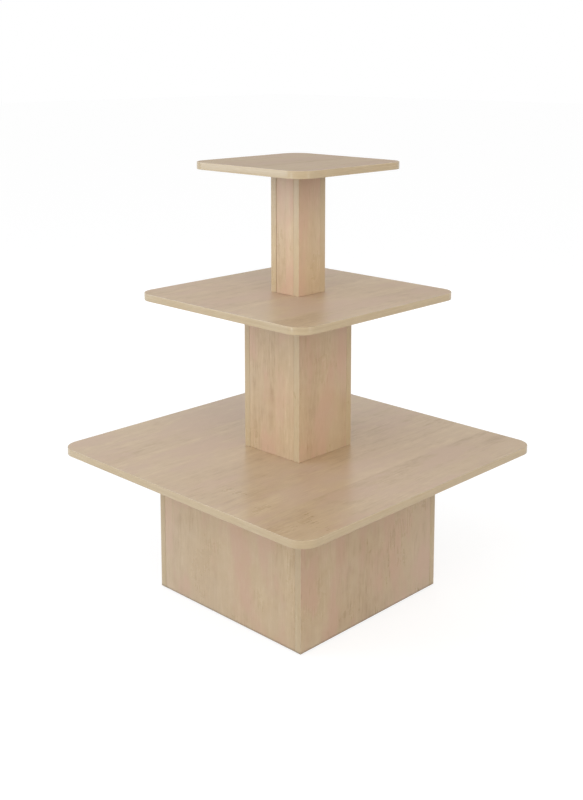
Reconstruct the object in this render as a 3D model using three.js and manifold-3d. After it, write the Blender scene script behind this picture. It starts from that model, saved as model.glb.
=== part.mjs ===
// Three-tier square display table: edge-banded laminate boards on butt-jointed box pedestals.
// Millimetres, +Z up, origin on the floor under the middle of the table.
import * as THREE from 'three';
import { mergeVertices } from 'three/addons/utils/BufferGeometryUtils.js';
import Module from 'manifold-3d';

const wasm = await Module();
wasm.setup();

// Boards, edge bands and fits
const boardThickness = 19.05;
const shelfBandThickness = 2;
const shelfBandEase = 0.8; // off the band's two outer arrises
const panelBandThickness = 1;
const glueLine = 0.2; // between any two pieces that are glued or seated
const runningGap = 0.3; // round what turns or slides

// Shelves, from the floor up
const bottomShelfSide = 914.4;
const middleShelfSide = 609.6;
const topShelfSide = 406.4;
const shelfCornerRadius = 50.8;

// Box pedestals: a height is the clear space under the shelf that the pedestal carries
const baseSide = 533.4;
const baseHeight = 387.35;
const baseFloorGap = 3;
const middleColumnSide = 203.2;
const middleColumnHeight = 406.4;
const topColumnSide = 101.6;
const topColumnHeight = 330.2;

// Tie rod that clamps the tiers together, and the dowels that keep them from turning on it
const rodDiameter = 10;
const rodHoleGap = 0.5;
const rodTail = 6; // left showing under the nut
const rodSocketLength = 12.5;
const rodSocketWall = 2.5;
const clampPlateSide = 60;
const clampPlateThickness = 5;
const clampPlateCorner = 4;
const rodNutWidth = 17; // across flats
const rodNutHeight = 8.4;
const dowelDiameter = 8;
const dowelOffset = 20; // from the rod's axis
const dowelBite = 12; // into the top shelf
const pinChamfer = 1;

// Levelling feet in the base's corner blocks
const footBlockSide = 60;
const footBlockHeight = 75;
const footBlockChamfer = 18;
const padDiameter = 38;
const padRimHeight = 4;
const padEase = 0.8;
const padFloor = 1.5; // under the ball
const padLip = 2.2; // rise of the socket's lip above the ball's middle
const padBossWall = 2.5; // round the socket's mouth
const ballDiameter = 10;
const neckDiameter = 6;
const neckLength = 1.5; // between pad and hex collar
const hexWidth = 13; // across flats
const hexHeight = 5;
const studDiameter = 8;
const studLength = 46; // above the hex collar
const insertLength = 24;
const insertWall = 2;
const insertFlangeWidth = 4; // beyond the barrel
const insertFlangeThickness = 1.6;

// Facets
const arcSteps = 7; // half the number of steps in a drawn arc
const roundSteps = 18;
const ballSteps = 6;

// Levels of the shelves
const bottomShelfTop = baseHeight + boardThickness;
const middleShelfUnder = bottomShelfTop + middleColumnHeight;
const middleShelfTop = middleShelfUnder + boardThickness;
const topShelfUnder = middleShelfTop + topColumnHeight;

// Holes that line up through every tier
const rodHole = { x: 0, y: 0, radius: rodDiameter / 2 + rodHoleGap };
const dowelHole = { x: dowelOffset, y: 0, radius: dowelDiameter / 2 + glueLine };

const finishes = {
  laminate: { color: 0xbea98f, roughness: 0.34, metalness: 0 },
  edgeBand: { color: 0xccb997, roughness: 0.42, metalness: 0 },
  innerBoard: { color: 0xb59a72, roughness: 0.85, metalness: 0 },
  zincSteel: { color: 0xb4b6b8, roughness: 0.38, metalness: 1 },
  blackNylon: { color: 0x2b2b2d, roughness: 0.6, metalness: 0 },
};

const table = new THREE.Group();

function addPiece(parent, name, geometry, finish) {
  const mesh = new THREE.Mesh(geometry, new THREE.MeshStandardMaterial(finish));
  mesh.name = name;
  parent.add(mesh);
  return mesh;
}

// Shared corners become one vertex, and the slivers that a revolve leaves on its axis go.
function weld(geometry) {
  const bare = geometry.clone();
  bare.deleteAttribute('normal');
  bare.deleteAttribute('uv');
  const welded = mergeVertices(bare);
  const corners = welded.index.array;
  const kept = [];
  for (let i = 0; i < corners.length; i += 3) {
    const [a, b, c] = corners.slice(i, i + 3);
    if (a !== b && b !== c && c !== a) {
      kept.push(a, b, c);
    }
  }
  welded.setIndex(kept);
  welded.computeVertexNormals();
  return welded;
}

function toSolid(geometry) {
  const welded = weld(geometry);
  const mesh = new wasm.Mesh({
    numProp: 3,
    vertProperties: new Float32Array(welded.attributes.position.array),
    triVerts: new Uint32Array(welded.index.array),
  });
  return new wasm.Manifold(mesh);
}

function toGeometry(solid) {
  const mesh = solid.getMesh();
  const geometry = new THREE.BufferGeometry();
  geometry.setAttribute('position', new THREE.BufferAttribute(mesh.vertProperties, 3));
  geometry.setIndex(new THREE.BufferAttribute(mesh.triVerts, 1));
  geometry.computeVertexNormals();
  return geometry;
}

function disc({ x, y, radius }) {
  return new THREE.Shape().absarc(x, y, radius, 0, 2 * Math.PI);
}

function drill(shape, holes) {
  for (const hole of holes) {
    shape.holes.push(disc(hole));
  }
  return shape;
}

function polygon(points, holes = []) {
  return drill(new THREE.Shape(points.map(([x, y]) => new THREE.Vector2(x, y))), holes);
}

function plainSquare(side, holes = []) {
  const half = side / 2;
  return polygon([[-half, -half], [half, -half], [half, half], [-half, half]], holes);
}

function roundedSquare(side, cornerRadius, holes = []) {
  const flat = side / 2 - cornerRadius;
  const quarter = Math.PI / 2;
  const shape = new THREE.Shape();
  shape.absarc(flat, -flat, cornerRadius, -quarter, 0);
  shape.absarc(flat, flat, cornerRadius, 0, quarter);
  shape.absarc(-flat, flat, cornerRadius, quarter, 2 * quarter);
  shape.absarc(-flat, -flat, cornerRadius, 2 * quarter, 3 * quarter);
  shape.closePath();
  return drill(shape, holes);
}

function hexagon(width, holes = []) {
  const reach = width / Math.sqrt(3);
  const points = [];
  for (let corner = 0; corner < 6; corner += 1) {
    const angle = (corner * Math.PI) / 3;
    points.push([reach * Math.cos(angle), reach * Math.sin(angle)]);
  }
  return polygon(points, holes);
}

function prism(shape, bottom, top) {
  const options = { depth: top - bottom, bevelEnabled: false, curveSegments: arcSteps };
  return weld(new THREE.ExtrudeGeometry(shape, options).translate(0, 0, bottom));
}

function box(low, high) {
  const size = high.map((value, axis) => value - low[axis]);
  const centre = high.map((value, axis) => (value + low[axis]) / 2);
  return new THREE.BoxGeometry(...size).translate(...centre);
}

// Revolves a profile of [radius, height] points, drawn upwards along its outside.
function revolve(profile) {
  const points = profile.map(([radius, height]) => new THREE.Vector2(radius, height));
  return weld(new THREE.LatheGeometry(points, roundSteps).rotateX(Math.PI / 2));
}

function pin(diameter, bottom, top) {
  const radius = diameter / 2;
  const tip = radius - pinChamfer;
  return revolve([
    [0, bottom],
    [tip, bottom],
    [radius, bottom + pinChamfer],
    [radius, top - pinChamfer],
    [tip, top],
    [0, top],
  ]);
}

// Profile points on a ball about a height on the axis, between two angles from its equator.
function ballArc(radius, height, from, to) {
  const points = [];
  for (let step = 0; step <= ballSteps; step += 1) {
    const angle = from + ((to - from) * step) / ballSteps;
    points.push([radius * Math.cos(angle), height + radius * Math.sin(angle)]);
  }
  return points;
}

// A shelf is a laminated board inside a wrapped band whose outer arrises are eased.
function shelfBand(side, under) {
  const options = {
    depth: boardThickness - 2 * shelfBandEase,
    bevelThickness: shelfBandEase,
    bevelSize: shelfBandEase,
    bevelOffset: -shelfBandEase,
    bevelSegments: 1,
    curveSegments: arcSteps,
  };
  const outline = roundedSquare(side, shelfCornerRadius);
  const slab = new THREE.ExtrudeGeometry(outline, options).translate(0, 0, under + shelfBandEase);
  const coreOutline = roundedSquare(side - 2 * shelfBandThickness, shelfCornerRadius - shelfBandThickness);
  const core = prism(coreOutline, under - boardThickness, under + 2 * boardThickness);
  return toGeometry(toSolid(slab).subtract(toSolid(core)));
}

function shelfBoard(side, under, holes) {
  const inset = shelfBandThickness + glueLine;
  const outline = roundedSquare(side - 2 * inset, shelfCornerRadius - inset, holes);
  return prism(outline, under, under + boardThickness);
}

// The top shelf has blind holes from below, for the rod's socket and the last dowel.
function topShelfBoard() {
  const drillStart = topShelfUnder - boardThickness;
  const socketHole = disc({ x: 0, y: 0, radius: rodHole.radius + rodSocketWall + glueLine });
  const socketDrill = prism(socketHole, drillStart, topShelfUnder + rodSocketLength + glueLine);
  const dowelDrill = prism(disc(dowelHole), drillStart, topShelfUnder + dowelBite + glueLine);
  const board = toSolid(shelfBoard(topShelfSide, topShelfUnder, []));
  return toGeometry(board.subtract(toSolid(socketDrill)).subtract(toSolid(dowelDrill)));
}

function addShelf(name, side, under, board) {
  addPiece(table, `${name}_board`, board, finishes.laminate);
  addPiece(table, `${name}_edge_band`, shelfBand(side, under), finishes.edgeBand);
}

// The back panel runs the full width, the side panels butt against it and the front panel is let in
// between them. Each board end that shows carries a band.
function addPedestal(name, side, bottom, top) {
  const outer = side / 2;
  const inner = outer - boardThickness;
  const bandInner = outer - panelBandThickness;
  const boardEnd = bandInner - glueLine;
  const letIn = inner - glueLine;
  const upright = (label, finish, x, y) => {
    const geometry = box([x[0], y[0], bottom], [x[1], y[1], top]);
    addPiece(table, `${name}_${label}`, geometry, finish);
  };
  upright('back_panel', finishes.laminate, [-boardEnd, boardEnd], [inner, outer]);
  upright('front_panel', finishes.laminate, [-letIn, letIn], [-outer, -inner]);
  upright('left_panel', finishes.laminate, [-outer, -inner], [-boardEnd, letIn]);
  upright('right_panel', finishes.laminate, [inner, outer], [-boardEnd, letIn]);
  upright('back_panel_left_band', finishes.edgeBand, [-outer, -bandInner], [inner, outer]);
  upright('back_panel_right_band', finishes.edgeBand, [bandInner, outer], [inner, outer]);
  upright('left_panel_band', finishes.edgeBand, [-outer, -inner], [-outer, -bandInner]);
  upright('right_panel_band', finishes.edgeBand, [inner, outer], [-outer, -bandInner]);
}

// A board glued flush inside a pedestal's end, drilled for the tie rod and the dowel.
function addPlug(name, pedestalSide, bottom) {
  const side = pedestalSide - 2 * (boardThickness + glueLine);
  const shape = plainSquare(side, [rodHole, dowelHole]);
  addPiece(table, name, prism(shape, bottom, bottom + boardThickness), finishes.innerBoard);
}

function addTieRod(topPlateUnder) {
  const threadHole = { x: 0, y: 0, radius: rodDiameter / 2 + runningGap };
  const plateTop = topPlateUnder - glueLine;
  const nutTop = plateTop - clampPlateThickness - glueLine;
  const nutUnder = nutTop - rodNutHeight;
  const socketRadius = rodHole.radius + rodSocketWall;
  const socketTop = topShelfUnder + rodSocketLength;
  const plate = roundedSquare(clampPlateSide, clampPlateCorner, [rodHole]);
  const socket = [
    [threadHole.radius, topShelfUnder],
    [socketRadius, topShelfUnder],
    [socketRadius, socketTop],
    [threadHole.radius, socketTop],
    [threadHole.radius, topShelfUnder],
  ];
  const steel = (name, geometry) => addPiece(table, name, geometry, finishes.zincSteel);
  steel('tie_rod', pin(rodDiameter, nutUnder - rodTail, socketTop));
  steel('tie_rod_socket', revolve(socket));
  steel('tie_rod_clamp_plate', prism(plate, plateTop - clampPlateThickness, plateTop));
  steel('tie_rod_nut', prism(hexagon(rodNutWidth, [threadHole]), nutUnder, nutTop));
}

function addDowel(name, bottom, top) {
  const dowel = addPiece(table, name, pin(dowelDiameter, bottom, top), finishes.innerBoard);
  dowel.position.x = dowelOffset;
}

// One levelling foot, drawn about its own axis, and the corner block that carries it.
function addFoot(name, x, y, turn) {
  const foot = new THREE.Group();
  foot.position.set(x, y, 0);
  table.add(foot);

  const ballRadius = ballDiameter / 2;
  const socketRadius = ballRadius + runningGap;
  const ballMiddle = padFloor + socketRadius;
  const padTop = ballMiddle + padLip;
  const padRadius = padDiameter / 2;
  const lipAngle = Math.asin(padLip / socketRadius);
  const bossRadius = socketRadius + padBossWall;
  addPiece(foot, `${name}_foot_pad`, revolve([
    [0, 0],
    [padRadius - padEase, 0],
    [padRadius, padEase],
    [padRadius, padRimHeight],
    [bossRadius, padTop],
    ...ballArc(socketRadius, ballMiddle, lipAngle, -Math.PI / 2),
  ]), finishes.blackNylon);

  const hexUnder = padTop + neckLength;
  const hexTop = hexUnder + hexHeight;
  const neckRadius = neckDiameter / 2;
  const studRadius = studDiameter / 2;
  const studTop = hexTop + studLength;
  const neckAngle = Math.acos(neckRadius / ballRadius);
  const shank = revolve([
    ...ballArc(ballRadius, ballMiddle, -Math.PI / 2, neckAngle),
    [neckRadius, hexUnder],
    [studRadius, hexUnder],
    [studRadius, studTop - pinChamfer],
    [studRadius - pinChamfer, studTop],
    [0, studTop],
  ]);
  const hex = prism(hexagon(hexWidth), hexUnder, hexTop);
  addPiece(foot, `${name}_foot_stud`, toGeometry(toSolid(shank).add(toSolid(hex))), finishes.zincSteel);

  const boreRadius = studRadius + runningGap;
  const barrelRadius = boreRadius + insertWall;
  const flangeRadius = barrelRadius + insertFlangeWidth;
  const flangeUnder = hexTop + glueLine;
  const flangeTop = flangeUnder + insertFlangeThickness;
  const blockUnder = flangeTop + glueLine;
  const insertTop = blockUnder + insertLength;
  addPiece(foot, `${name}_foot_insert`, revolve([
    [boreRadius, flangeUnder],
    [flangeRadius, flangeUnder],
    [flangeRadius, flangeTop],
    [barrelRadius, flangeTop],
    [barrelRadius, insertTop],
    [boreRadius, insertTop],
    [boreRadius, flangeUnder],
  ]), finishes.zincSteel);

  const half = footBlockSide / 2;
  const cut = footBlockChamfer - half;
  const blockOutline = [[half, half], [-half, half], [-half, cut], [cut, -half], [half, -half]];
  const insertHole = { x: 0, y: 0, radius: barrelRadius + glueLine };
  const blockShape = polygon(blockOutline, [insertHole]);
  const block = addPiece(foot, `${name}_corner_block`,
    prism(blockShape, blockUnder, blockUnder + footBlockHeight), finishes.innerBoard);
  block.rotation.z = turn;
}

// Base pedestal, its top plate and its four feet
const baseTop = baseHeight - glueLine;
const topPlateUnder = baseTop - boardThickness;
addPedestal('base', baseSide, baseFloorGap, baseTop);
addPlug('base_top_plate', baseSide, topPlateUnder);
const footReach = baseSide / 2 - boardThickness - glueLine - footBlockSide / 2;
addFoot('back_right', footReach, footReach, 0);
addFoot('back_left', -footReach, footReach, Math.PI / 2);
addFoot('front_left', -footReach, -footReach, Math.PI);
addFoot('front_right', footReach, -footReach, -Math.PI / 2);

// Bottom shelf and the column that stands on it
const middleColumnBottom = bottomShelfTop + glueLine;
const middleColumnTop = middleShelfUnder - glueLine;
const bottomBoard = shelfBoard(bottomShelfSide, baseHeight, [rodHole, dowelHole]);
addShelf('bottom_shelf', bottomShelfSide, baseHeight, bottomBoard);
addPedestal('middle_column', middleColumnSide, middleColumnBottom, middleColumnTop);
addPlug('middle_column_bottom_plug', middleColumnSide, middleColumnBottom);
addPlug('middle_column_top_plug', middleColumnSide, middleColumnTop - boardThickness);
addDowel('bottom_shelf_dowel', topPlateUnder, middleColumnBottom + boardThickness);

// Middle shelf and the column that stands on it
const topColumnBottom = middleShelfTop + glueLine;
const topColumnTop = topShelfUnder - glueLine;
const middleBoard = shelfBoard(middleShelfSide, middleShelfUnder, [rodHole, dowelHole]);
addShelf('middle_shelf', middleShelfSide, middleShelfUnder, middleBoard);
addPedestal('top_column', topColumnSide, topColumnBottom, topColumnTop);
addPlug('top_column_bottom_plug', topColumnSide, topColumnBottom);
addPlug('top_column_top_plug', topColumnSide, topColumnTop - boardThickness);
addDowel('middle_shelf_dowel', middleColumnTop - boardThickness, topColumnBottom + boardThickness);

// Top shelf and the rod that pulls it all down
addShelf('top_shelf', topShelfSide, topShelfUnder, topShelfBoard());
addDowel('top_shelf_dowel', topColumnTop - boardThickness, topShelfUnder + dowelBite);
addTieRod(topPlateUnder);

export default table;
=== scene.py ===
import math
import bmesh
import bpy
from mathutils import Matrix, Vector


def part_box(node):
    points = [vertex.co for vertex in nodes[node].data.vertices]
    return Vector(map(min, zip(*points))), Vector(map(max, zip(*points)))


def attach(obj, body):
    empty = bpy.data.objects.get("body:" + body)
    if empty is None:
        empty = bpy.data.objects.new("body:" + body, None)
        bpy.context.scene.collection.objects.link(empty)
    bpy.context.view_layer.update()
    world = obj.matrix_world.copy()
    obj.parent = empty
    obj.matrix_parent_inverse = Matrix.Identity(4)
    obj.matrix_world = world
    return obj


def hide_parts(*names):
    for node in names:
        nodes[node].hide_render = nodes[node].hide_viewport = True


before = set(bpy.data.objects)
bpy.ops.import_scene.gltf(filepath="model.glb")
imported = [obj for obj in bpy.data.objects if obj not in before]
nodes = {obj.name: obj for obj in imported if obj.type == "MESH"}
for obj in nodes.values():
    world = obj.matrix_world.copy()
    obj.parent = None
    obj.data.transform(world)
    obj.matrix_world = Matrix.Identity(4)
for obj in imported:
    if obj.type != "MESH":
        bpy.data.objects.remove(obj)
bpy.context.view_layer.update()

scene = bpy.context.scene
print("frame loaded:", len(nodes), "nodes")

weldGap = 1e-6      # metres; points nearer than this are one


# colours, objects and rings of points
def toLinear(red, green, blue):      # from the 8-bit colours of a screen
    parts = [c / 255 for c in (red, green, blue)]
    return tuple(c / 12.92 if c <= 0.04045 else ((c + 0.055) / 1.055) ** 2.4 for c in parts) + (1.0,)


def paint(finish, label):
    return toLinear(*finish[label])


def newObject(name, data):
    obj = bpy.data.objects.new(name, data)
    scene.collection.objects.link(obj)
    return obj


def objectFrom(name, work):
    mesh = bpy.data.meshes.new(name)
    work.to_mesh(mesh)
    work.free()
    return newObject(name, mesh)


def ringAt(work, radius, height, sides, at=(0.0, 0.0)):
    angles = [math.tau * i / sides for i in range(sides)]
    spots = [(at[0] + radius * math.cos(a), at[1] + radius * math.sin(a), height) for a in angles]
    return [work.verts.new(spot) for spot in spots]


def bridge(work, first, second):
    for i in range(len(first)):
        j = (i + 1) % len(first)
        work.faces.new((first[i], first[j], second[j], second[i]))


# nodes and sockets, for shaders and geometry alike
def feed(target, source):
    if isinstance(source, bpy.types.NodeSocket):
        target.id_data.links.new(source, target)
    else:
        target.default_value = source


def putNode(tree, kind, inputs=None, **settings):
    node = tree.nodes.new(kind)
    for key, value in settings.items():
        setattr(node, key, value)
    for key, value in (inputs or {}).items():
        feed(node.inputs[key], value)
    return node


def mathNode(tree, operation, *values):
    return putNode(tree, "ShaderNodeMath", dict(enumerate(values)), operation=operation).outputs[0]


def plus(tree, first, second):
    return mathNode(tree, "ADD", first, second)


def times(tree, first, second):
    return mathNode(tree, "MULTIPLY", first, second)


def blend(tree, first, firstShare, second, secondShare):
    return plus(tree, times(tree, first, firstShare), times(tree, second, secondShare))


def vectorNode(tree, operation, *values):
    return putNode(tree, "ShaderNodeVectorMath", dict(enumerate(values)), operation=operation).outputs[0]


def scaled(tree, vector, factors):
    return vectorNode(tree, "MULTIPLY", vector, factors)


def stretched(tree, vector, factor):
    values = {0: vector, "Scale": factor}
    return putNode(tree, "ShaderNodeVectorMath", values, operation="SCALE").outputs[0]


def splitParts(tree, vector):
    return putNode(tree, "ShaderNodeSeparateXYZ", {0: vector}).outputs


def joinParts(tree, *parts):
    return putNode(tree, "ShaderNodeCombineXYZ", dict(enumerate(parts))).outputs[0]


def rampRange(tree, value, *limits):      # from low, high to the two values out, 0 and 1 unless given
    values = dict(enumerate((value,) + limits))
    return putNode(tree, "ShaderNodeMapRange", values, interpolation_type="SMOOTHSTEP").outputs[0]


def mixColour(tree, factor, first, second):
    return putNode(tree, "ShaderNodeMix", {0: factor, 6: first, 7: second}, data_type="RGBA").outputs[2]


def noise4d(tree, vector, seed, scale, detail, rough):
    values = {"Vector": vector, "W": seed, "Scale": scale, "Detail": detail, "Roughness": rough}
    return putNode(tree, "ShaderNodeTexNoise", values, noise_dimensions="4D").outputs["Fac"]


def grainLayer(tree, vector, layer, board=0.0):
    scales, detail, rough, seed = layer      # scales are cycles per metre on each axis
    return noise4d(tree, scaled(tree, vector, scales), plus(tree, board, seed), 1.0, detail, rough)


def cellsOf(tree, vector, scale):
    cells = putNode(tree, "ShaderNodeTexVoronoi", {"Vector": vector, "Scale": scale}, feature="F1")
    parts = putNode(tree, "ShaderNodeSeparateColor", {0: cells.outputs["Color"]})
    return parts.outputs, cells.outputs["Distance"]


def readMark(tree, label):
    return putNode(tree, "ShaderNodeAttribute", attribute_name=label).outputs["Fac"]


def socketKind(value):      # a socket's kind by name, or from the default it gets
    if isinstance(value, str):
        return value
    if isinstance(value, int):
        return "NodeSocketInt"
    if isinstance(value, float):
        return "NodeSocketFloat"
    return "NodeSocketVector" if len(value) == 3 else "NodeSocketColor"


def newGroup(name, treeKind, inputs, outputs):
    group = bpy.data.node_groups.new(name, treeKind)
    for label, value in inputs.items():
        socket = group.interface.new_socket(name=label, in_out="INPUT", socket_type=socketKind(value))
        if not isinstance(value, str):
            socket.default_value = value
    for label, kind in outputs.items():
        group.interface.new_socket(name=label, in_out="OUTPUT", socket_type=kind)
    start = group.nodes.new("NodeGroupInput")
    end = group.nodes.new("NodeGroupOutput")
    return group, start.outputs, end.inputs


# shader groups that several finishes share: only colours and values go in or out
midGrey = (0.5, 0.5, 0.5, 1.0)
mapleFigure = {
    "plankWidth": 0.088, "plankDrift": 0.03, "plankStep": 3.7, "plankSeed": 0.35, "wanderBy": 0.012,
    # layers: cycles per metre with the last along the grain, detail, roughness, seed
    "drift": ((3, 3, 0.7), 1.0, 0.5, 0.0),
    "wander": ((9, 9, 3), 2.0, 0.5, 0.0),
    "streak": ((250, 250, 20), 2.5, 0.55, 0.0),
    "broad": ((52, 52, 2.4), 2.0, 0.5, 4.4),
    "fibre": ((1100, 1100, 30), 1.0, 0.5, 3.1),
    "dash": ((280, 280, 30), 1.5, 0.5, 6.3),      # short dark dashes, in patches
    "curl": ((36, 36, 24), 3.0, 0.6, 5.7),
    "cloud": ((13, 13, 5), 3.0, 0.6, 1.9),
    "patch": ((11, 11, 5), 2.0, 0.5, 8.2),
    "weights": {"streak": 1.5, "broad": 0.75, "fibre": 0.5, "curl": 1.0, "plank": 0.45},
    # ramps: low, high and the two values out
    "patchy": (0.36, 0.62, 0.25, 1.0), "toMiddle": (0.0, 0.55), "toPale": (0.5, 1.0),
    "rosy": (0.44, 0.62, 0.0, 0.9), "darkDash": (0.6, 0.74, 0.0, 0.48), "paleDash": (0.4, 0.27, 0.0, 0.6),
    "glossBreak": (0.7, 0.3), "height": (0.6, -0.6),
}


def makeMapleGroup():
    tree, given, wanted = newGroup("mapleFigure", "ShaderNodeTree", {
        "Vector": "NodeSocketVector", "Board": 0.0, "Pale": midGrey, "Middle": midGrey, "Dark": midGrey,
        "Blush": midGrey, "Contrast": 1.0, "Tone": 1.0},
        {"Color": "NodeSocketColor", "Gloss Break": "NodeSocketFloat", "Height": "NodeSocketFloat"})
    figure, at, board = mapleFigure, given["Vector"], given["Board"]

    # printed planks: strips of slightly different tone, each with its own figure
    parts = splitParts(tree, at)
    drift = grainLayer(tree, at, figure["drift"], board)
    across = plus(tree, plus(tree, parts[0], parts[1]), times(tree, drift, figure["plankDrift"]))
    plankAt = mathNode(tree, "DIVIDE", across, figure["plankWidth"])
    plankAt = plus(tree, plankAt, times(tree, board, figure["plankStep"]))
    pair = joinParts(tree, mathNode(tree, "FLOOR", plankAt), board)
    plank = putNode(tree, "ShaderNodeTexWhiteNoise", {"Vector": pair}, noise_dimensions="2D").outputs["Value"]
    seed = plus(tree, board, times(tree, plank, figure["plankSeed"]))

    # the grain wanders a little sideways
    wander = times(tree, grainLayer(tree, at, figure["wander"], seed), figure["wanderBy"])
    bent = vectorNode(tree, "ADD", at, joinParts(tree, wander, wander))

    def layer(label):
        return grainLayer(tree, bent, figure[label], seed)

    def weigh(value, label):
        return times(tree, mathNode(tree, "SUBTRACT", value, 0.5), figure["weights"][label])

    streak, fibre, dash, cloud = (layer(label) for label in ("streak", "fibre", "dash", "cloud"))
    patch = rampRange(tree, layer("patch"), *figure["patchy"])
    level = times(tree, weigh(streak, "streak"), patch)
    others = {"broad": layer("broad"), "fibre": fibre, "curl": layer("curl"), "plank": plank}
    for label, value in others.items():
        level = plus(tree, level, weigh(value, label))
    level = plus(tree, times(tree, level, given["Contrast"]), 0.5)
    colour = mixColour(tree, rampRange(tree, level, *figure["toMiddle"]), given["Dark"], given["Middle"])
    colour = mixColour(tree, rampRange(tree, level, *figure["toPale"]), colour, given["Pale"])
    colour = mixColour(tree, rampRange(tree, cloud, *figure["rosy"]), colour, given["Blush"])
    dashes = times(tree, rampRange(tree, dash, *figure["darkDash"]), patch)
    colour = mixColour(tree, dashes, colour, given["Dark"])
    glints = times(tree, rampRange(tree, dash, *figure["paleDash"]), patch)
    colour = mixColour(tree, glints, colour, given["Pale"])
    feed(wanted["Color"], stretched(tree, colour, given["Tone"]))      # each board has its own tone, which also holds painted shade and light
    cloudShare, streakShare = figure["glossBreak"]
    feed(wanted["Gloss Break"], blend(tree, cloud, cloudShare, streak, streakShare))
    fibreShare, dashShare = figure["height"]
    feed(wanted["Height"], blend(tree, fibre, fibreShare, dash, dashShare))
    return tree


hazeFigure = {
    "patches": (2.3, 7.0, 5.0, 0.62), "specks": (5.1, 95.0, 3.0, 0.6),      # seed, scale, detail, roughness
    "patchy": (0.35, 0.7), "least": 0.4, "even": 0.35,
}


def makeHazeGroup():      # handling haze: faint and uneven
    tree, given, wanted = newGroup("handlingHaze", "ShaderNodeTree", {
        "Vector": "NodeSocketVector", "Color": midGrey, "Haze": midGrey, "Amount": 0.08, "Roughness": 0.3,
        "Spread": 0.1}, {"Color": "NodeSocketColor", "Roughness": "NodeSocketFloat"})
    patches = noise4d(tree, given["Vector"], *hazeFigure["patches"])
    specks = noise4d(tree, given["Vector"], *hazeFigure["specks"])
    mask = rampRange(tree, patches, *hazeFigure["patchy"])
    mask = times(tree, mask, plus(tree, specks, hazeFigure["least"]))
    amount = times(tree, mask, given["Amount"])
    feed(wanted["Color"], mixColour(tree, amount, given["Color"], given["Haze"]))
    change = times(tree, mathNode(tree, "SUBTRACT", mask, hazeFigure["even"]), given["Spread"])
    feed(wanted["Roughness"], plus(tree, given["Roughness"], change))
    return tree


wearAndHighlightFigure = {"rub": (7.7, 45.0, 4.0, 0.65), "broken": (0.3, 0.6, 0.4, 1.0), "dulls": 0.12}


def makeWearAndHighlightGroup():      # rubbed arrises: paler, duller, broken up along their length; the paler line is partly wear and partly a painted highlight
    tree, given, wanted = newGroup("edgeWearAndHighlight", "ShaderNodeTree", {
        "Vector": "NodeSocketVector", "Distance": 0.0, "Reach": 0.002, "Color": midGrey, "Worn": midGrey,
        "Amount": 0.5, "Roughness": 0.3}, {"Color": "NodeSocketColor", "Roughness": "NodeSocketFloat"})
    rub = noise4d(tree, given["Vector"], *wearAndHighlightFigure["rub"])
    reach = times(tree, given["Reach"], plus(tree, rub, 0.5))
    near = rampRange(tree, given["Distance"], 0.0, reach, 1.0, 0.0)
    mask = times(tree, near, rampRange(tree, rub, *wearAndHighlightFigure["broken"]))
    mask = times(tree, mask, given["Amount"])
    feed(wanted["Color"], mixColour(tree, mask, given["Color"], given["Worn"]))
    feed(wanted["Roughness"], plus(tree, given["Roughness"], times(tree, mask, wearAndHighlightFigure["dulls"])))
    return tree


mapleGroup = makeMapleGroup()
hazeGroup = makeHazeGroup()
wearAndHighlightGroup = makeWearAndHighlightGroup()
print("shader groups built")


# finishes
def startMaterial(name, viewColour):
    material = bpy.data.materials.new(name)
    material.use_nodes = True
    material.diffuse_color = viewColour
    tree = material.node_tree
    shader = next(n for n in tree.nodes if n.type == "BSDF_PRINCIPLED")
    place = putNode(tree, "ShaderNodeTexCoord").outputs["Object"]
    return material, tree, shader, place


def useGroup(tree, group, **values):
    return putNode(tree, "ShaderNodeGroup", values, node_tree=group).outputs


def addHaze(tree, finish, place, colour, rough):
    return useGroup(tree, hazeGroup, Vector=place, Color=colour, Haze=paint(finish, "haze"),
                    Amount=finish["hazeAmount"], Roughness=rough, Spread=finish["hazeSpread"])


def rubAndHighlightArris(tree, finish, place, distance, colour, rough):
    return useGroup(tree, wearAndHighlightGroup, Vector=place, Distance=distance, Reach=finish["wearAndHighlightReach"],
                    Color=colour, Worn=paint(finish, "wornAndHighlight"), Amount=finish["wearAndHighlight"], Roughness=rough)


def coverWith(shader, layer):
    feed(shader.inputs["Base Color"], layer["Color"])
    feed(shader.inputs["Roughness"], layer["Roughness"])


def bumpInto(tree, shader, finish, height):
    values = {"Strength": finish["bump"], "Distance": finish["bumpDepth"], "Height": height}
    feed(shader.inputs["Normal"], putNode(tree, "ShaderNodeBump", values).outputs[0])


laminateFinish = {
    "pale": (205, 183, 150), "middle": (193, 169, 136), "dark": (172, 145, 113), "blush": (197, 164, 138),
    "contrast": 0.75, "bump": 0.16, "bumpDepth": 0.00012, "ior": 1.4,
    "roughness": 0.3, "glossBreak": 0.1, "dulling": 0.24, "dullBetween": (0.6, 0.95),
    "haze": (205, 196, 186), "hazeAmount": 0.1, "hazeSpread": 0.08,
    # paler arrises: partly wear, partly a painted highlight along the edge
    "wornAndHighlight": (222, 206, 180), "wearAndHighlightReach": 0.0022, "wearAndHighlight": 0.45,
    # painted contact shade: darker along the foot of the base, where it meets the floor
    "footShade": (112, 96, 80), "footShadeAmount": 0.6, "footShadeHeight": 0.008, "footShadeWander": 0.006,
    "footShadeLayer": ((60, 60, 240), 3.0, 0.6, 3.9),
}
shelfFinish = dict(laminateFinish, blush=(192, 165, 139))      # the lying sheets are less rosy
bandFinish = dict(
    laminateFinish, pale=(200, 181, 147), middle=(191, 170, 136), dark=(177, 154, 120), blush=(189, 167, 135),
    haze=(210, 204, 192), dulling=0.2, wearAndHighlight=0.35, contrast=0.5, bumpDepth=0.0001)


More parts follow.
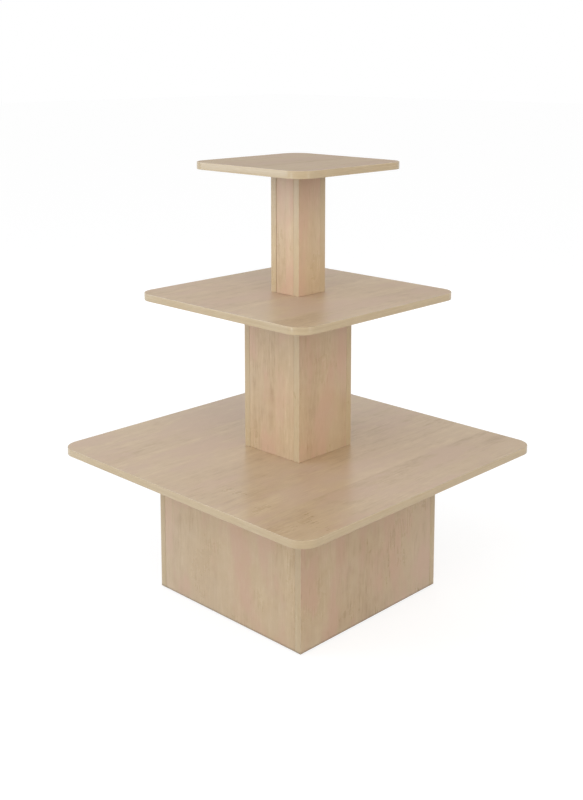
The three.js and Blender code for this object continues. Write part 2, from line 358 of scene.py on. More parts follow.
def makeMaple(name, finish, turn=(0, 0, 0), upright=True):
    material, tree, shader, place = startMaterial(name, paint(finish, "middle"))
    turned = putNode(tree, "ShaderNodeMapping", {"Vector": place, "Rotation": turn}).outputs[0]
    figure = useGroup(tree, mapleGroup, Vector=turned, Board=readMark(tree, "boardSeed"),
                      Tone=readMark(tree, "boardTone"), Contrast=finish["contrast"],
                      Pale=paint(finish, "pale"), Middle=paint(finish, "middle"),
                      Dark=paint(finish, "dark"), Blush=paint(finish, "blush"))
    rough = times(tree, figure["Gloss Break"], finish["glossBreak"])
    rough = plus(tree, rough, finish["roughness"] - finish["glossBreak"] / 2)
    facing = putNode(tree, "ShaderNodeLayerWeight", {"Blend": 0.5}).outputs["Facing"]
    # satin at a low angle
    dulled = rampRange(tree, facing, *finish["dullBetween"], 0.0, finish["dulling"])
    hazed = addHaze(tree, finish, place, figure["Color"], plus(tree, rough, dulled))
    shader.inputs["IOR"].default_value = finish["ior"]
    bumpInto(tree, shader, finish, figure["Height"])
    if not upright:
        coverWith(shader, hazed)
        return material
    spot = splitParts(tree, place)
    # painted contact shade: a thin darker line along the foot of the base, wandering a little in height
    scuff = times(tree, grainLayer(tree, place, finish["footShadeLayer"]), -finish["footShadeWander"])
    height = plus(tree, spot[2], scuff)
    footShadeMask = rampRange(tree, height, 0.0, finish["footShadeHeight"], finish["footShadeAmount"], 0.0)
    footShaded = mixColour(tree, footShadeMask, hazed["Color"], paint(finish, "footShade"))
    inner = mathNode(tree, "MINIMUM", *(mathNode(tree, "ABSOLUTE", spot[i]) for i in range(2)))
    distance = mathNode(tree, "SUBTRACT", readMark(tree, "arrisAt"), inner)
    coverWith(shader, rubAndHighlightArris(tree, finish, place, distance, footShaded, hazed["Roughness"]))
    return material


laminateUpright = makeMaple("laminateUpright", laminateFinish)
alongY = (math.pi / 2, 0, 0)      # turns the grain from upright to front and back
laminateShelf = makeMaple("laminateShelf", shelfFinish, alongY, upright=False)
bandUpright = makeMaple("bandUpright", bandFinish)

shelfBandFinish = {
    "pale": (187, 168, 135), "middle": (179, 159, 127), "dark": (170, 149, 117), "roughness": 0.2,
    # paler arrises: partly wear, partly a painted highlight along the edge
    "halfHeight": 0.009525, "wornAndHighlight": (216, 200, 172), "wearAndHighlightReach": 0.0018, "wearAndHighlight": 0.3,
    "haze": (210, 204, 192), "hazeAmount": 0.08, "hazeSpread": 0.1, "bump": 0.12, "bumpDepth": 0.0001,
    "streak": ((5, 5, 420), 3.0, 0.55, 1.7), "fine": ((60, 60, 1500), 2.0, 0.5, 4.2),
    "blotch": ((7, 7, 12), 2.0, 0.5, 8.8), "blotchy": (0.4, 0.7, 0.0, 0.6),
    "streakShare": 0.6, "fineShare": 0.4, "spread": (0.3, 0.7),
}


def makeShelfBand():      # grain runs round the edge, so only height changes quickly
    finish = shelfBandFinish
    material, tree, shader, place = startMaterial("bandShelf", paint(finish, "middle"))
    streak, fine, blotch = (grainLayer(tree, place, finish[label]) for label in ("streak", "fine", "blotch"))
    level = blend(tree, streak, finish["streakShare"], fine, finish["fineShare"])
    level = rampRange(tree, level, *finish["spread"])
    colour = mixColour(tree, level, paint(finish, "dark"), paint(finish, "pale"))
    blotches = rampRange(tree, blotch, *finish["blotchy"])
    colour = mixColour(tree, blotches, colour, paint(finish, "middle"))
    hazed = addHaze(tree, finish, place, colour, finish["roughness"])
    fromMiddle = mathNode(tree, "SUBTRACT", splitParts(tree, place)[2], readMark(tree, "arrisAt"))
    distance = mathNode(tree, "SUBTRACT", finish["halfHeight"], mathNode(tree, "ABSOLUTE", fromMiddle))
    coverWith(shader, rubAndHighlightArris(tree, finish, place, distance, hazed["Color"], hazed["Roughness"]))
    bumpInto(tree, shader, finish, fine)
    return material


bandShelf = makeShelfBand()

chipFinish = {
    "pale": (203, 178, 134), "middle": (181, 151, 106), "dark": (152, 121, 82),
    "roughness": 0.78, "roughSpread": 0.12, "bump": 0.35, "bumpDepth": 0.0006,
    "chips": 400.0, "fines": 1100.0, "finesShare": 0.5, "squeeze": (1.0, 0.45, 1.0),
    "bend": (0.004, -0.003, 0.004), "bendNoise": (3.3, 160.0, 2.0, 0.5), "dusty": (0.35, 0.65, 0.2, 0.8),
}


def makeChipboard():
    finish = chipFinish
    material, tree, shader, place = startMaterial("rawChipboard", paint(finish, "middle"))
    bend = stretched(tree, finish["bend"], noise4d(tree, place, *finish["bendNoise"]))
    bent = scaled(tree, vectorNode(tree, "ADD", place, bend), finish["squeeze"])
    coarse, coarseEdge = cellsOf(tree, bent, finish["chips"])
    fines, finesEdge = cellsOf(tree, bent, finish["fines"])
    chips = mixColour(tree, coarse[0], paint(finish, "dark"), paint(finish, "pale"))
    dust = mixColour(tree, fines[0], paint(finish, "middle"), paint(finish, "pale"))
    colour = mixColour(tree, rampRange(tree, coarse[1], *finish["dusty"]), chips, dust)
    rough = plus(tree, times(tree, fines[1], finish["roughSpread"]), finish["roughness"])
    coverWith(shader, {"Color": colour, "Roughness": rough})
    bumpInto(tree, shader, finish, blend(tree, coarseEdge, 1.0, finesEdge, finish["finesShare"]))
    return material


rawChipboard = makeChipboard()

zincFinish = {
    "middle": (203, 203, 206), "dull": (191, 192, 196), "bright": (215, 215, 216), "spangle": 480.0,
    "scuff": (6.1, 260.0, 4.0, 0.6),      # seed, scale, detail, roughness
    "roughness": 0.26, "roughSpread": 0.22, "bump": 0.15, "bumpDepth": 0.0001,
    "haze": (173, 172, 170), "hazeAmount": 0.25, "hazeSpread": 0.2,
}


def makeZinc():
    finish = zincFinish
    material, tree, shader, place = startMaterial("zincPlate", paint(finish, "middle"))
    spangle = cellsOf(tree, place, finish["spangle"])[0]
    scuff = noise4d(tree, place, *finish["scuff"])
    colour = mixColour(tree, spangle[0], paint(finish, "dull"), paint(finish, "bright"))
    rough = plus(tree, times(tree, scuff, finish["roughSpread"]), finish["roughness"])
    coverWith(shader, addHaze(tree, finish, place, colour, rough))
    shader.inputs["Metallic"].default_value = 1.0
    bumpInto(tree, shader, finish, scuff)
    return material


nylonFinish = {
    "middle": (39, 39, 40), "deep": (36, 36, 38), "rubbed": (52, 51, 51), "rubs": (0.45, 0.75),
    "grain": (1.1, 2600.0, 3.0, 0.6), "scuff": (9.4, 190.0, 4.0, 0.62), "roughness": 0.52,
    "haze": (111, 108, 105), "hazeAmount": 0.3, "hazeSpread": 0.2, "bump": 0.3, "bumpDepth": 0.0002,
}


def makeNylon():
    finish = nylonFinish
    material, tree, shader, place = startMaterial("blackNylon", paint(finish, "middle"))
    rubbed = rampRange(tree, noise4d(tree, place, *finish["scuff"]), *finish["rubs"])
    colour = mixColour(tree, rubbed, paint(finish, "deep"), paint(finish, "rubbed"))
    coverWith(shader, addHaze(tree, finish, place, colour, finish["roughness"]))
    bumpInto(tree, shader, finish, noise4d(tree, place, *finish["grain"]))
    return material


zincPlate = makeZinc()
blackNylon = makeNylon()
print("materials built")


# Geometry Nodes: what several trees use
def newTree(name, inputs):
    inputs = dict(inputs, Material="NodeSocketMaterial")
    outputs = {"Geometry": "NodeSocketGeometry"}
    tree, given, wanted = newGroup(name, "GeometryNodeTree", inputs, outputs)
    return tree, given, wanted["Geometry"]


def closeTree(tree, geometry, material, end):
    real = putNode(tree, "GeometryNodeRealizeInstances", {0: geometry})
    values = {"Geometry": real.outputs[0], "Material": material}
    feed(end, putNode(tree, "GeometryNodeSetMaterial", values).outputs[0])


def rectangle(tree, width, height):
    values = {"Width": width, "Height": height}
    return putNode(tree, "GeometryNodeCurvePrimitiveQuadrilateral", values, mode="RECTANGLE").outputs[0]


def fillet(tree, curve, radius, steps):
    values = {"Curve": curve, "Count": steps, "Radius": radius}
    return putNode(tree, "GeometryNodeFilletCurve", values, mode="POLY").outputs[0]


def upright(tree, curve):
    return putNode(tree, "GeometryNodeSetCurveNormal", {"Curve": curve}, mode="Z_UP").outputs[0]


def sweep(tree, curve, section, caps):
    values = {"Curve": curve, "Profile Curve": section, "Fill Caps": caps}
    return putNode(tree, "GeometryNodeCurveToMesh", values).outputs[0]


def cylinder(tree, radius, height, sides):
    values = {"Vertices": sides, "Radius": radius, "Depth": height}
    return putNode(tree, "GeometryNodeMeshCylinder", values, fill_type="NGON").outputs["Mesh"]


def moveBy(tree, geometry, offset):
    return putNode(tree, "GeometryNodeSetPosition", {"Geometry": geometry, "Offset": offset}).outputs[0]


def growFromTree(name, tree, values, start=None):
    source = newObject(name + "Source", start or bpy.data.meshes.new(name + "Source"))
    modifier = source.modifiers.new("grow", "NODES")
    modifier.node_group = tree
    for item in tree.interface.items_tree:
        if item.in_out == "INPUT" and item.name in values:
            modifier[item.identifier] = values[item.name]
    grown = source.evaluated_get(bpy.context.evaluated_depsgraph_get())
    mesh = bpy.data.meshes.new_from_object(grown)
    source.modifiers.remove(modifier)
    bpy.data.objects.remove(source)
    mesh.name = name
    return newObject(name, mesh)


# marks, smooth edges and places of finished pieces
def markBoard(obj, seed, tone, arris):      # the board's own figure, its tone with painted shade and light in it, and where its edge is
    for label, value in (("boardSeed", seed), ("boardTone", tone), ("arrisAt", arris)):
        values = obj.data.attributes.new(label, "FLOAT", "POINT")
        values.data.foreach_set("value", [value] * len(obj.data.vertices))


def smoothBelow(obj, degrees):
    obj.data.shade_smooth()
    work = bmesh.new()
    work.from_mesh(obj.data)
    for edge in work.edges:
        if len(edge.link_faces) == 2:
            edge.smooth = edge.calc_face_angle(0.0) < math.radians(degrees)
    work.to_mesh(obj.data)
    work.free()


def dress(obj, material):
    obj.data.materials.clear()
    obj.data.materials.append(material)


def settle(obj, body, slot, *replaced):
    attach(obj, body)
    if replaced:
        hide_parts(*replaced)


# shelves
shelfSizes = {
    "bandThickness": 0.002, "ease": 0.0008, "easeSteps": 5, "seam": 0.0001, "weld": 1e-5, "smooth": 40,
    "cornerRadius": 0.0508, "cornerSteps": 22, "boreSides": 32, "through": 1.5,
    "rodHole": 0.0055, "socketHole": 0.0081, "socketDepth": 0.0126,
    "dowelHole": 0.0041, "dowelBite": 0.0121, "dowelAside": 0.02,
    "seeds": {"bottom_shelf": 0.31, "middle_shelf": 4.87, "top_shelf": 9.13},
    # tones: board tone and painted shade; the top shelf is painted darker
    "tonesAndShade": {"bottom_shelf": 0.99, "middle_shelf": 0.97, "top_shelf": 0.81},
}


def roundedPath(tree, given):
    square = rectangle(tree, given["Side"], given["Side"])
    return fillet(tree, square, given["Corner Radius"], given["Corner Steps"])


def makeBandTree():      # a band section swept round the shelf's rounded square
    tree, given, end = newTree("shelfBandSweep", {
        "Side": 0.9, "Corner Radius": 0.05, "Corner Steps": 20, "Thickness": 0.002, "Height": 0.019,
        "Ease": 0.0008, "Ease Steps": 5, "Middle Height": 0.4})
    section = rectangle(tree, given["Thickness"], given["Height"])
    across = splitParts(tree, putNode(tree, "GeometryNodeInputPosition").outputs[0])[0]
    outside = mathNode(tree, "GREATER_THAN", across, 0.0)
    section = fillet(tree, section, times(tree, outside, given["Ease"]), given["Ease Steps"])
    section = moveBy(tree, section, joinParts(tree, times(tree, given["Thickness"], -0.5)))
    band = sweep(tree, upright(tree, roundedPath(tree, given)), section, False)
    band = moveBy(tree, band, joinParts(tree, 0.0, 0.0, given["Middle Height"]))
    closeTree(tree, band, given["Material"], end)
    return tree


def makeBoardTree():      # rounded square filled, raised to the board's thickness and drilled from below
    tree, given, end = newTree("shelfBoardSlab", {
        "Side": 0.9, "Corner Radius": 0.05, "Corner Steps": 20, "Height": 0.019, "Under": 0.4, "Weld": 1e-5,
        "Rod Hole": 0.0055, "Rod Depth": 0.03, "Dowel Hole": 0.0041, "Dowel Depth": 0.03, "Dowel Aside": 0.02,
        "Bore Sides": 32})
    path = roundedPath(tree, given)
    under = putNode(tree, "GeometryNodeFillCurve", {"Curve": path}, mode="NGONS").outputs[0]
    flipped = putNode(tree, "GeometryNodeFlipFaces", {0: under}).outputs[0]
    values = {"Mesh": under, "Offset Scale": given["Height"], "Individual": False}
    raised = putNode(tree, "GeometryNodeExtrudeMesh", values, mode="FACES").outputs[0]
    shell = putNode(tree, "GeometryNodeJoinGeometry", {0: raised})
    feed(shell.inputs[0], flipped)
    values = {0: shell.outputs[0], "Distance": given["Weld"]}
    slab = putNode(tree, "GeometryNodeMergeByDistance", values).outputs[0]
    slab = moveBy(tree, slab, joinParts(tree, 0.0, 0.0, given["Under"]))
    drilled = putNode(tree, "GeometryNodeMeshBoolean", {"Mesh 1": slab},
                      operation="DIFFERENCE", solver="EXACT")
    for bore, aside in (("Rod", 0.0), ("Dowel", given["Dowel Aside"])):
        depth = times(tree, given[bore + " Depth"], 2.0)      # half of the bit stands below the board
        bit = cylinder(tree, given[bore + " Hole"], depth, given["Bore Sides"])
        feed(drilled.inputs["Mesh 2"], moveBy(tree, bit, joinParts(tree, aside, 0.0, given["Under"])))
    closeTree(tree, drilled.outputs["Mesh"], given["Material"], end)
    return tree


def buildShelf(label, bandTree, boardTree):
    sizes = shelfSizes
    low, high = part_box(label + "_edge_band")
    side, height, middle = high.x - low.x, high.z - low.z, (low.z + high.z) / 2
    isTop = label == "top_shelf"      # its rod socket and dowel hole stop inside the board
    through = height * sizes["through"]
    band = growFromTree(label + "_band", bandTree, {
        "Side": side, "Corner Radius": sizes["cornerRadius"], "Corner Steps": sizes["cornerSteps"],
        "Thickness": sizes["bandThickness"], "Height": height, "Ease": sizes["ease"],
        "Ease Steps": sizes["easeSteps"], "Middle Height": middle, "Material": bandShelf})
    inset = sizes["bandThickness"] + sizes["seam"]
    board = growFromTree(label + "_slab", boardTree, {
        "Side": side - 2 * inset, "Corner Radius": sizes["cornerRadius"] - inset,
        "Corner Steps": sizes["cornerSteps"], "Height": height, "Under": low.z, "Weld": sizes["weld"],
        "Rod Hole": sizes["socketHole" if isTop else "rodHole"],
        "Rod Depth": sizes["socketDepth"] if isTop else through, "Dowel Hole": sizes["dowelHole"],
        "Dowel Depth": sizes["dowelBite"] if isTop else through, "Dowel Aside": sizes["dowelAside"],
        "Bore Sides": sizes["boreSides"], "Material": laminateShelf})
    for obj in (band, board):
        smoothBelow(obj, sizes["smooth"])
        markBoard(obj, sizes["seeds"][label], sizes["tonesAndShade"][label], middle)
    settle(band, "table", "maple_edge_band", label + "_edge_band")
    settle(board, "table", "maple_laminate", label + "_board")


shelfTrees = (makeBandTree(), makeBoardTree())
for shelfLabel in shelfSizes["seeds"]:
    buildShelf(shelfLabel, *shelfTrees)
print("shelves built")


# box pedestals
panelSizes = {
    "ease": 0.0008, "bandEase": 0.0009, "easeSteps": 3, "easeShare": 0.45, "smooth": 40, "seedStep": 1.37,
    "panels": ("back_panel", "front_panel", "left_panel", "right_panel"),
    "bands": ("back_panel_left_band", "back_panel_right_band", "left_panel_band", "right_panel_band"),
    "openJoint": {"top_column_front_panel": 0.0009},      # this panel stands a hair off its left neighbour
    "seeds": {"base": 0.6, "middle_column": 23.7, "top_column": 47.9},
    # tones: board tone with painted light and shade; the base is painted darker, the columns lighter
    "tonesAndShade": {"base": 0.88, "middle_column": 0.955, "top_column": 1.0},
}


def easedBoard(name, low, high, ease):
    work = bmesh.new()
    bmesh.ops.create_cube(work, size=1.0)
    size = high - low
    for vert in work.verts:
        vert.co = Vector(low[i] + (vert.co[i] + 0.5) * size[i] for i in range(3))
    ease = min(ease, min(size) * panelSizes["easeShare"])
    bmesh.ops.bevel(work, geom=list(work.edges), offset=ease, segments=panelSizes["easeSteps"], profile=0.5,
                    affect="EDGES", clamp_overlap=True)
    return objectFrom(name, work)


def buildPedestal(label):
    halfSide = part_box(label + "_right_panel")[1].x
    seed, tone = panelSizes["seeds"][label], panelSizes["tonesAndShade"][label]
    for index, part in enumerate(panelSizes["panels"] + panelSizes["bands"]):
        node = label + "_" + part
        isBand = part in panelSizes["bands"]
        low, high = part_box(node)
        low.x += panelSizes["openJoint"].get(node, 0.0)
        board = easedBoard(node + "_eased", low, high, panelSizes["bandEase" if isBand else "ease"])
        dress(board, bandUpright if isBand else laminateUpright)
        smoothBelow(board, panelSizes["smooth"])
        markBoard(board, seed + index * panelSizes["seedStep"], tone, halfSide)
        settle(board, "table", "maple_edge_band" if isBand else "maple_laminate", node)


for pedestalLabel in panelSizes["seeds"]:
    buildPedestal(pedestalLabel)
print("pedestals built")


# inner boards, blocks and clamping hardware: the CAD shapes with broken edges
innerSizes = {
    "boardEase": 0.0006, "blockEase": 0.0012, "steelEase": 0.0005, "easeSteps": 2,
    "flat": 2, "sharp": 40, "smooth": 35,      # degrees
}
corners = ("back_right", "back_left", "front_left", "front_right")
plugs = [column + "_column_" + end + "_plug" for column in ("middle", "top") for end in ("bottom", "top")]


def easeNode(node, material, slot, ease):
    work = bmesh.new()
    work.from_mesh(nodes[node].data)
    bmesh.ops.remove_doubles(work, verts=work.verts, dist=weldGap)
    flat, sharp = math.radians(innerSizes["flat"]), math.radians(innerSizes["sharp"])
    bmesh.ops.dissolve_limit(work, angle_limit=flat, verts=work.verts, edges=work.edges)
    edges = [e for e in work.edges if len(e.link_faces) == 2 and e.calc_face_angle(0.0) > sharp]
    bmesh.ops.bevel(work, geom=edges, offset=ease, segments=innerSizes["easeSteps"], profile=0.5,
                    affect="EDGES", clamp_overlap=True)
    work.normal_update()
    piece = objectFrom(node + "_eased", work)
    dress(piece, material)
    smoothBelow(piece, innerSizes["smooth"])
    settle(piece, "table", slot, node)


for innerNode in ["base_top_plate"] + plugs:
    easeNode(innerNode, rawChipboard, "chipboard", innerSizes["boardEase"])
for corner in corners:
    easeNode(corner + "_corner_block", rawChipboard, "chipboard", innerSizes["blockEase"])
for innerNode in ("tie_rod_clamp_plate", "tie_rod_nut"):
    easeNode(innerNode, zincPlate, "zinc_steel", innerSizes["steelEase"])
for keptNode, keptObject in nodes.items():      # plain pins and sleeves keep their CAD shape
    if keptNode.endswith("_dowel"):
        dress(keptObject, rawChipboard)
    elif keptNode in ("tie_rod", "tie_rod_socket") or keptNode.endswith("_foot_insert"):
        dress(keptObject, zincPlate)
print("inner boards and hardware built")


# screws: countersunk cross heads set out on points
screwSizes = {
    "headRadius": 0.0042, "headRise": 0.0007, "headSides": 24, "sunk": 0.0004, "smooth": 35, "seed": 7,
    "rimRise": 0.35, "crown": 0.82, "recessTaper": 0.8,      # shares of the rise, the radius and the recess
    "recess": 0.0024, "slotWidth": 0.0009, "recessDepth": 0.0006,
    "rows": (0.042, 0.074), "rowShift": 0.008, "fromCorner": 0.012, "platePoints": 0.165,
}


def makeScrewHead():
    sizes = screwSizes
    work = bmesh.new()
    radius, rise = sizes["headRadius"], sizes["headRise"]
    profile = ((radius, -sizes["sunk"]), (radius, rise * sizes["rimRise"]), (radius * sizes["crown"], rise))
    rings = [ringAt(work, ringRadius, z, sizes["headSides"]) for ringRadius, z in profile]
    reach, half = sizes["recess"], sizes["slotWidth"] / 2
    crossing = [(half, reach), (-half, reach), (-half, half)]      # one arm, turned for the other three
    for arm in range(3):
        crossing += [(-y, x) for x, y in crossing[-3:]]
    mouth = [work.verts.new((x, y, rise)) for x, y in crossing]
    taper, floor = sizes["recessTaper"], rise - sizes["recessDepth"]
    pit = [work.verts.new((x * taper, y * taper, floor)) for x, y in crossing]
    bridge(work, rings[0], rings[1])
    bridge(work, rings[1], rings[2])
    bridge(work, mouth, pit)
    work.faces.new(pit)
    rims = [(ring[i], ring[(i + 1) % len(ring)]) for ring in (rings[-1], mouth) for i in range(len(ring))]
    edges = [work.edges.get(pair) or work.edges.new(pair) for pair in rims]
    bmesh.ops.triangle_fill(work, edges=edges, use_beauty=True)
    work.faces.new(list(reversed(rings[0])))
    bmesh.ops.recalc_face_normals(work, faces=work.faces)
    return objectFrom("screwHead", work)


def makeScrewTree():
    tree, given, end = newTree("screwRows", {
        "Points": "NodeSocketGeometry", "Head": "NodeSocketObject", "Size": 1.0, "Seed": 7})
    head = putNode(tree, "GeometryNodeObjectInfo", {"Object": given["Head"]}).outputs["Geometry"]
    facing = putNode(tree, "GeometryNodeInputNamedAttribute", {"Name": "facing"}, data_type="FLOAT_VECTOR")
    aim = putNode(tree, "FunctionNodeAlignRotationToVector", {"Vector": facing.outputs[0]}, axis="Z")
    turn = {2: 0.0, 3: math.tau, "Seed": given["Seed"]}      # no two slots line up
    turn = putNode(tree, "FunctionNodeRandomValue", turn, data_type="FLOAT").outputs[1]
    spin = putNode(tree, "FunctionNodeEulerToRotation", {0: joinParts(tree, 0.0, 0.0, turn)})
    rotate = {0: aim.outputs[0], 1: spin.outputs[0]}
    rotate = putNode(tree, "FunctionNodeRotateRotation", rotate, rotation_space="LOCAL")
    placed = putNode(tree, "GeometryNodeInstanceOnPoints", {
        "Points": given["Points"], "Instance": head, "Rotation": rotate.outputs[0],
        "Scale": joinParts(tree, given["Size"], given["Size"], given["Size"])})
    closeTree(tree, placed.outputs[0], given["Material"], end)
    return tree


def growOnPoints(name, tree, points, values):
    mesh = bpy.data.meshes.new(name + "Points")
    mesh.from_pydata([spot for spot, facing in points], [], [])
    facings = mesh.attributes.new("facing", "FLOAT_VECTOR", "POINT")
    facings.data.foreach_set("vector", [c for spot, facing in points for c in facing])
    return growFromTree(name, tree, values, mesh)


def cornerScrews(corner):
    low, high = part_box(corner + "_corner_block")
    side = [1 if low[i] > 0 else -1 for i in range(2)]
    inner = [low[i] if side[i] > 0 else high[i] for i in range(2)]
    outer = [(high[i] if side[i] > 0 else low[i]) - side[i] * screwSizes["fromCorner"] for i in range(2)]
    points = []
    for z in screwSizes["rows"]:
        points.append(((inner[0], outer[1], z), (-side[0], 0, 0)))
        points.append(((outer[0], inner[1], z + screwSizes["rowShift"]), (0, -side[1], 0)))
    return points


def buildScrews():
    head = makeScrewHead()
    points = [point for corner in corners for point in cornerScrews(corner)]
    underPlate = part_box("base_top_plate")[0].z
    reach = screwSizes["platePoints"]
    for x in (-reach, 0, reach):
        for y in (-reach, 0, reach):
            if x or y:
                points.append(((x, y, underPlate), (0, 0, -1)))
    screws = growOnPoints("cross_head_screws", makeScrewTree(), points, {
        "Head": head, "Size": 1.0, "Seed": screwSizes["seed"], "Material": zincPlate})
    bpy.data.objects.remove(head)
    smoothBelow(screws, screwSizes["smooth"])
    settle(screws, "table", "zinc_steel")


buildScrews()
print("screws built")


# threads of the studs and of the tie rod
threadSizes = {"steps": 20, "sides": 4}


def makeThreadTree():      # a ridge swept along a helix
    tree, given, end = newTree("screwThread", {
        "Root Radius": 0.0033, "Depth": 0.0007, "Pitch": 0.00125, "Turns": 30.0, "Bottom": 0.0,
        "Centre": (0.0, 0.0, 0.0), "Steps": 20, "Sides": 4})
    helix = putNode(tree, "GeometryNodeCurveSpiral", {
        "Resolution": given["Steps"], "Rotations": given["Turns"], "Start Radius": given["Root Radius"],
        "End Radius": given["Root Radius"], "Height": times(tree, given["Turns"], given["Pitch"])})
    ridge = {"Resolution": given["Sides"], "Radius": given["Depth"]}
    ridge = putNode(tree, "GeometryNodeCurvePrimitiveCircle", ridge, mode="RADIUS").outputs[0]
    thread = sweep(tree, upright(tree, helix.outputs[0]), ridge, True)
    thread = moveBy(tree, thread, joinParts(tree, 0.0, 0.0, given["Bottom"]))
    closeTree(tree, moveBy(tree, thread, given["Centre"]), given["Material"], end)
    return tree


def growThread(name, tree, root, depth, pitch, bottom, top, centre):
    return growFromTree(name, tree, {
        "Root Radius": root, "Depth": depth, "Pitch": pitch, "Turns": (top - bottom) / pitch,
        "Bottom": bottom, "Centre": centre, "Steps": threadSizes["steps"], "Sides": threadSizes["sides"],
        "Material": zincPlate})


# levelling feet
footSizes = {
    "padRadius": 0.019, "padEase": 0.0008, "rimHeight": 0.004, "bossRadius": 0.0078, "padTop": 0.009,
    "edge": 0.0004, "bottomEase": 0.3, "socketGap": 0.0003, "lip": 0.0022, "turnSteps": 48, "arcSteps": 10,
    "grooves": (0.006, 0.0125), "grooveSide": 0.0003, "grooveWidth": 0.0015, "grooveDepth": 0.0004,
    "ribs": 30, "ribWidth": 0.0012, "ribSides": 8, "ribRing": 0.01876, "ribHeight": 0.0024,
    "ribMiddle": 0.00208, "ballRadius": 0.005, "ballMiddle": 0.0068, "neckRadius": 0.003,
    "hexUnder": 0.0105, "hexTop": 0.0155, "hexWidth": 0.013, "hexSides": 6, "hexRim": 0.93,
    "hexEase": 0.0005, "hexBite": 0.001, "rootRadius": 0.0034, "crest": 0.004, "pitch": 0.00125,
    "studTop": 0.0615, "tip": 0.001, "tipTaper": 0.0006, "threadGap": 0.0012, "smooth": 35, "ribSmooth": 50,
}


def spinProfile(name, profile, at):
    steps = footSizes["turnSteps"]
    work = bmesh.new()
    rings = []
    for radius, z in profile:
        isPole = radius < weldGap
        rings.append([work.verts.new((at.x, at.y, z))] if isPole else ringAt(work, radius, z, steps, at))
    for first, second in zip(rings[:-1], rings[1:]):
        if len(first) == len(second):
            bridge(work, first, second)
            continue
        for i in range(steps):
            j = (i + 1) % steps
            fromPole = len(first) == 1
            work.faces.new((first[0], second[j], second[i]) if fromPole else (first[i], first[j], second[0]))
    bmesh.ops.recalc_face_normals(work, faces=work.faces)
    return objectFrom(name, work)


def arcPoints(radius, middle, start, stop):
    steps = footSizes["arcSteps"]
    angles = [start + (stop - start) * i / steps for i in range(steps + 1)]
    return [(max(radius * math.cos(a), 0.0), middle + radius * math.sin(a)) for a in angles]


def makeRibTree():      # grip ribs round the pad's rim
    tree, given, end = newTree("padRibs", {
        "Count": 30, "Sides": 8, "Radius": 0.018, "Width": 0.0012, "Height": 0.0025,
        "Centre": (0.0, 0.0, 0.0)})
    ring = {"Vertices": given["Count"], "Radius": given["Radius"]}
    ring = putNode(tree, "GeometryNodeMeshCircle", ring, fill_type="NONE").outputs[0]
    rib = cylinder(tree, times(tree, given["Width"], 0.5), given["Height"], given["Sides"])
    spot = putNode(tree, "GeometryNodeInputPosition").outputs[0]
    aim = putNode(tree, "FunctionNodeAlignRotationToVector", {"Vector": spot}, axis="X").outputs[0]
    placed = {"Points": ring, "Instance": rib, "Rotation": aim}
    placed = putNode(tree, "GeometryNodeInstanceOnPoints", placed).outputs[0]
    ribs = putNode(tree, "GeometryNodeRealizeInstances", {0: placed}).outputs[0]
    closeTree(tree, moveBy(tree, ribs, given["Centre"]), given["Material"], end)
    return tree


def padProfile():
    foot = footSizes
    points = [(0, 0)]
    for start in foot["grooves"]:
        stop, slope, depth = start + foot["grooveWidth"], foot["grooveSide"], foot["grooveDepth"]
        points += [(start, 0), (start + slope, depth), (stop - slope, depth), (stop, 0)]
    rim, ease, edge = foot["padRadius"], foot["padEase"], foot["edge"]
    points += [(rim - ease, 0), (rim - ease * foot["bottomEase"], ease * foot["bottomEase"]), (rim, ease)]
    points += [(rim, foot["rimHeight"] - edge), (rim - edge, foot["rimHeight"])]
    boss, top = foot["bossRadius"], foot["padTop"]
    points += [(boss + edge, top - edge), (boss - edge / 2, top)]
    socket = foot["ballRadius"] + foot["socketGap"]
    return points + arcPoints(socket, foot["ballMiddle"], math.asin(foot["lip"] / socket), -math.pi / 2)


def shankProfile():
    foot = footSizes
    neckAngle = math.acos(foot["neckRadius"] / foot["ballRadius"])
    ball = arcPoints(foot["ballRadius"], foot["ballMiddle"], -math.pi / 2, neckAngle)
    root, top = foot["rootRadius"], foot["studTop"]
    bite = foot["hexBite"]
    neck = [(foot["neckRadius"], foot["hexUnder"] + bite), (root, foot["hexTop"] - bite)]
    return ball + neck + [(root, top - foot["tip"]), (root - foot["tipTaper"], top), (0, top)]


def buildHex(name, at):
    foot = footSizes
    work = bmesh.new()
    reach = foot["hexWidth"] / math.sqrt(3)
    rim, bottom, top, ease = reach * foot["hexRim"], foot["hexUnder"], foot["hexTop"], foot["hexEase"]
    profile = ((rim, bottom), (reach, bottom + ease), (reach, top - ease), (rim, top))
    rings = [ringAt(work, radius, z, foot["hexSides"], at) for radius, z in profile]
    for first, second in zip(rings[:-1], rings[1:]):
        bridge(work, first, second)
    work.faces.new(list(reversed(rings[0])))
    work.faces.new(rings[-1])
    bmesh.ops.recalc_face_normals(work, faces=work.faces)
    return objectFrom(name, work)


